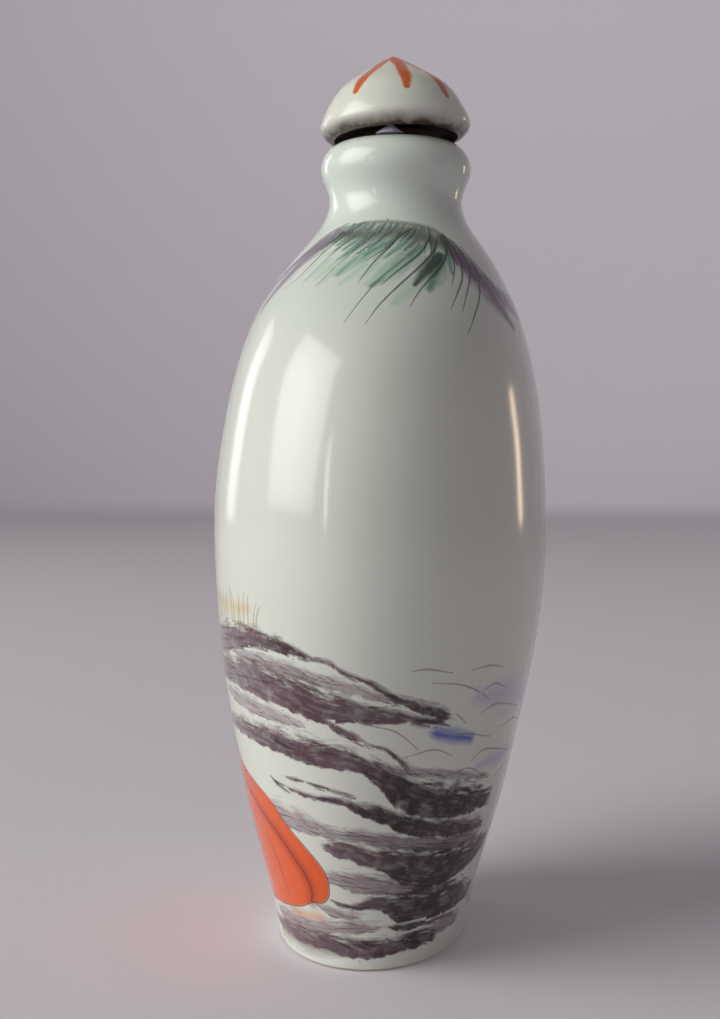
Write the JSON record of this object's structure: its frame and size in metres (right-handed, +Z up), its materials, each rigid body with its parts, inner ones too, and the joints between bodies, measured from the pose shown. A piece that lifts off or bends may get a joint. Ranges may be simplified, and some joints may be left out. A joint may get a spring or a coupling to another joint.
{
  "type": "snuff bottle",
  "caption": "Flattened ovoid porcelain snuff bottle with an oval foot, a round waisted neck, a rolled lip and a low domed stopper on a cork plug.",
  "frame": {"origin": "middle of the bottle's outline, in the plane it stands on", "axes": "+Z up through the mouth, +Y through the broad back face, +X through a narrow edge"},
  "size_m": [0.0424, 0.0282, 0.075],
  "materials": {
    "glazed_porcelain": "glossy clear glaze over white porcelain, painted in brown-black, green, blue-grey and orange-red enamels",
    "stopper_porcelain": "glossy cream-white glaze with orange-red strokes from the tip",
    "cork": "dry natural cork"
  },
  "bodies": {
    "root": {"bottle": "glazed_porcelain", "stopper": "stopper_porcelain", "plug": "cork"}
  },
  "joints": []
}
